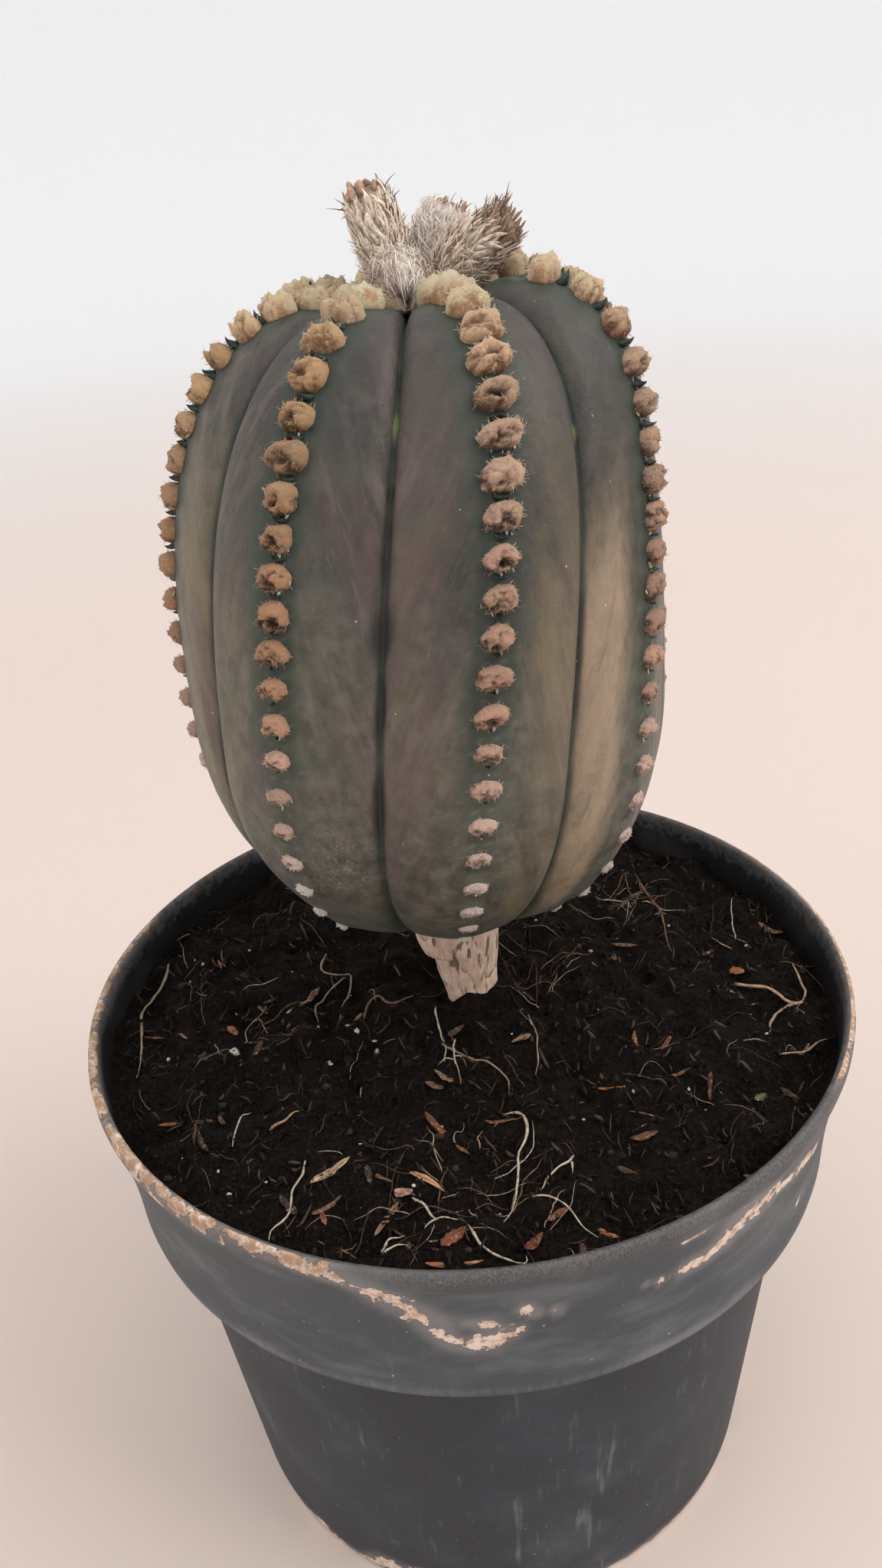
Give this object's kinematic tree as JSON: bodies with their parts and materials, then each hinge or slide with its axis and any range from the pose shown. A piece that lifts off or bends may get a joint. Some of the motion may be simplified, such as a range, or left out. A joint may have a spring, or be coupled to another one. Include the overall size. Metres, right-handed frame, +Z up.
{
  "type": "potted star cactus",
  "caption": "Ribbed star cactus with woolly areoles and dried flowers on its crown, standing on a corky neck in a plastic nursery pot of soil.",
  "frame": {"origin": "centre of the pot's underside, on the surface it stands on", "axes": "+Z up through the plant; the side in the picture faces -Y and +X is on its right"},
  "size_m": [0.1504, 0.1496, 0.2615],
  "materials": {
    "pot": "matt, scuffed, with lime and soil marks",
    "soil": "damp dark potting soil with bark chips and dry rootlets",
    "cork": "dry corky bark, fissured along its length",
    "stem": "satin grey-green skin with purple-brown streaks",
    "wool": "felted areole wool, cream at the crown, brown lower down",
    "dry_flower": "papery withered bracts in woolly hair",
    "scale": "small dark green scales",
    "rootlet": "dry fine roots",
    "chip": "bark and wood chips",
    "grit": "pale mineral grit"
  },
  "bodies": {
    "root": {"pot": "pot", "soil": "soil", "root_neck": "cork", "stem": "stem", "dried_flower_left": "dry_flower", "dried_flower_middle": "dry_flower", "dried_flower_right": "dry_flower", "dried_flower_front": "dry_flower"}
  },
  "joints": []
}
